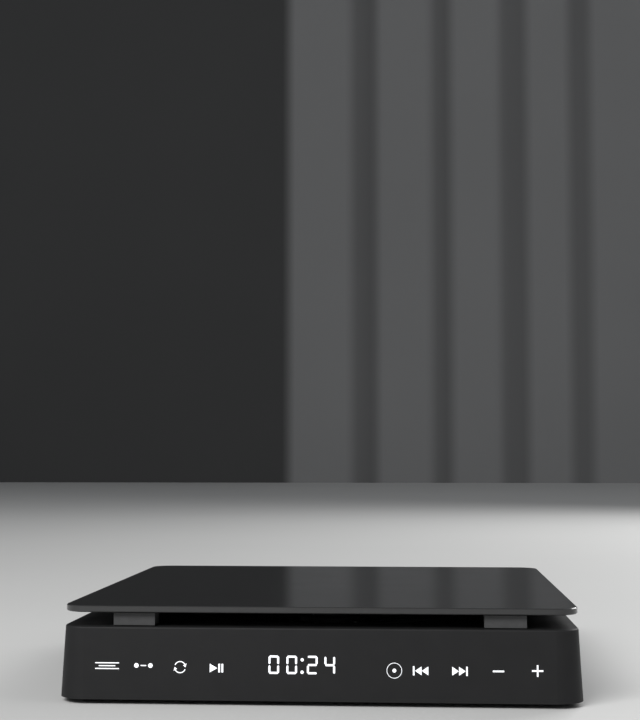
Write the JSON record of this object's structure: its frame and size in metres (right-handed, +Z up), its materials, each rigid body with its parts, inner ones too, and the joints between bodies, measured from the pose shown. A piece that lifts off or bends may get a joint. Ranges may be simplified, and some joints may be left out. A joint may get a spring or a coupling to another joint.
{
  "type": "top-loading dvd player",
  "caption": "Flat square disc player with a floating hinged lid on two pads, a drafted body, a lit clock and touch marks, and a geared sled drive inside.",
  "frame": {"origin": "middle of the footprint at the soles of the feet", "axes": "+Z up, the front with the clock faces -Y, +X to the right seen from the front"},
  "size_m": [0.2164, 0.2172, 0.04],
  "materials": {
    "housing_plastic": "fine moulded texture",
    "lid_gloss": "gloss top, satin edge",
    "liner_plastic": "matte black",
    "pad_rubber": "soft grey",
    "foot_rubber": "matte black",
    "well_plastic": "fine texture",
    "steel": "plain",
    "screw_steel": "zinc",
    "board_green": "solder mask",
    "chip_black": "moulded",
    "sink_aluminium": "extruded",
    "cap_sleeve": "shrink sleeve",
    "display_black": "smoked window",
    "key_foam": "conductive foam",
    "connector_black": "moulded",
    "connector_steel": "tinned",
    "contact_brass": "bright",
    "jack_colours": "yellow, white and red",
    "drive_plastic": "glass filled",
    "gear_white": "acetal",
    "bush_rubber": "soft",
    "magnet_dark": "sintered",
    "hub_plastic": "satin",
    "lens_glass": "coated"
  },
  "bodies": {
    "base": {"av_inserts": "jack_colours", "av_jack_block": "connector_black", "av_sleeves": "connector_steel", "base_plate": "housing_plastic", "base_screws": "screw_steel", "board_chips": "chip_black", "board_screws": "screw_steel", "capacitors": "cap_sleeve", "damper_bushes": "bush_rubber", "dc_jack": "connector_black", "disc_well": "well_plastic", "display_board": "board_green", "gear_axles": "steel", "guide_rods": "steel", "hdmi_socket": "connector_steel", "heat_sink": "sink_aluminium", "hinge_bracket_left": "steel", "hinge_bracket_right": "steel", "hinge_pins": "steel", "hinge_screws": "screw_steel", "ir_receiver": "display_black", "led_display": "display_black", "lid_pad_left": "pad_rubber", "lid_pad_right": "pad_rubber", "lid_sensor": "board_green", "main_board": "board_green", "mech_screws": "screw_steel", "power_switch_body": "connector_steel", "rear_panel": "housing_plastic", "rubber_feet": "foot_rubber", "sled_motor": "steel", "socket_contacts": "contact_brass", "spindle_motor_base": "steel", "touch_pads": "key_foam", "traverse_chassis": "drive_plastic", "upper_housing": "housing_plastic", "usb_socket": "connector_steel"},
    "lid": {"lid_plate": "lid_gloss", "lid_liner": "liner_plastic", "lid_magnet": "magnet_dark", "lid_screws": "screw_steel", "hinge_leaf_left": "steel", "hinge_leaf_right": "steel"},
    "spindle": {"turntable": "hub_plastic", "turntable_pad": "foot_rubber", "rotor": "steel", "rotor_magnet": "magnet_dark", "spindle_shaft": "steel"},
    "claw_a": {"claw_a": "gear_white"},
    "claw_b": {"claw_b": "gear_white"},
    "claw_c": {"claw_c": "gear_white"},
    "pickup": {"pickup_body": "sink_aluminium", "pickup_rack": "gear_white"},
    "lens_holder": {"lens_holder": "chip_black", "lens": "lens_glass"},
    "sled_gear": {"sled_gear": "gear_white"},
    "idler_gear": {"idler_gear": "gear_white"},
    "motor_pinion": {"motor_pinion": "contact_brass", "motor_shaft": "steel"},
    "power_switch_knob": {"power_switch_knob": "connector_black"}
  },
  "joints": [
    {"name": "lid_hinge", "type": "hinge", "parent": "base", "child": "lid", "pos_m": [0, 0.1043, 0.03435], "axis": [-1, 0, 0], "range_deg": [0, 78]},
    {"name": "spindle_spin", "type": "hinge", "parent": "base", "child": "spindle", "pos_m": [0, -0.028, 0.02], "axis": [0, 0, 1], "continuous": true},
    {"name": "claw_a_slide", "type": "slide", "parent": "spindle", "child": "claw_a", "axis": [0, -1, 0], "range_m": [0, 0.0005], "stiffness_N_per_m": 400},
    {"name": "claw_b_slide", "type": "slide", "parent": "spindle", "child": "claw_b", "axis": [0.866, 0.5, 0], "range_m": [0, 0.0005], "stiffness_N_per_m": 400},
    {"name": "claw_c_slide", "type": "slide", "parent": "spindle", "child": "claw_c", "axis": [-0.866, 0.5, 0], "range_m": [0, 0.0005], "stiffness_N_per_m": 400},
    {"name": "pickup_slide", "type": "slide", "parent": "base", "child": "pickup", "axis": [1, 0, 0], "range_m": [0, 0.034]},
    {"name": "lens_focus", "type": "slide", "parent": "pickup", "child": "lens_holder", "axis": [0, 0, 1], "range_m": [-0.0006, 0.0006], "stiffness_N_per_m": 60},
    {"name": "sled_gear_spin", "type": "hinge", "parent": "base", "child": "sled_gear", "pos_m": [0.04, 0.006, 0.0147], "axis": [0, 0, 1], "range_deg": [-1, 196]},
    {"name": "idler_gear_spin", "type": "hinge", "parent": "base", "child": "idler_gear", "pos_m": [0.0265, 0.006, 0.016], "axis": [0, 0, 1], "range_deg": [-558, 1]},
    {"name": "motor_pinion_spin", "type": "hinge", "parent": "base", "child": "motor_pinion", "pos_m": [0.0145, 0.006, 0.0155], "axis": [0, 0, 1], "range_deg": [-1, 2230]},
    {"name": "power_slide", "type": "slide", "parent": "base", "child": "power_switch_knob", "axis": [1, 0, 0], "range_m": [0, 0.0025]}
  ],
  "couplings": [
    {"joint": "sled_gear_spin", "follows": "pickup_slide", "rad_per_m": 100},
    {"joint": "idler_gear_spin", "follows": "pickup_slide", "rad_per_m": -285.71},
    {"joint": "motor_pinion_spin", "follows": "pickup_slide", "rad_per_m": 1142.9}
  ]
}
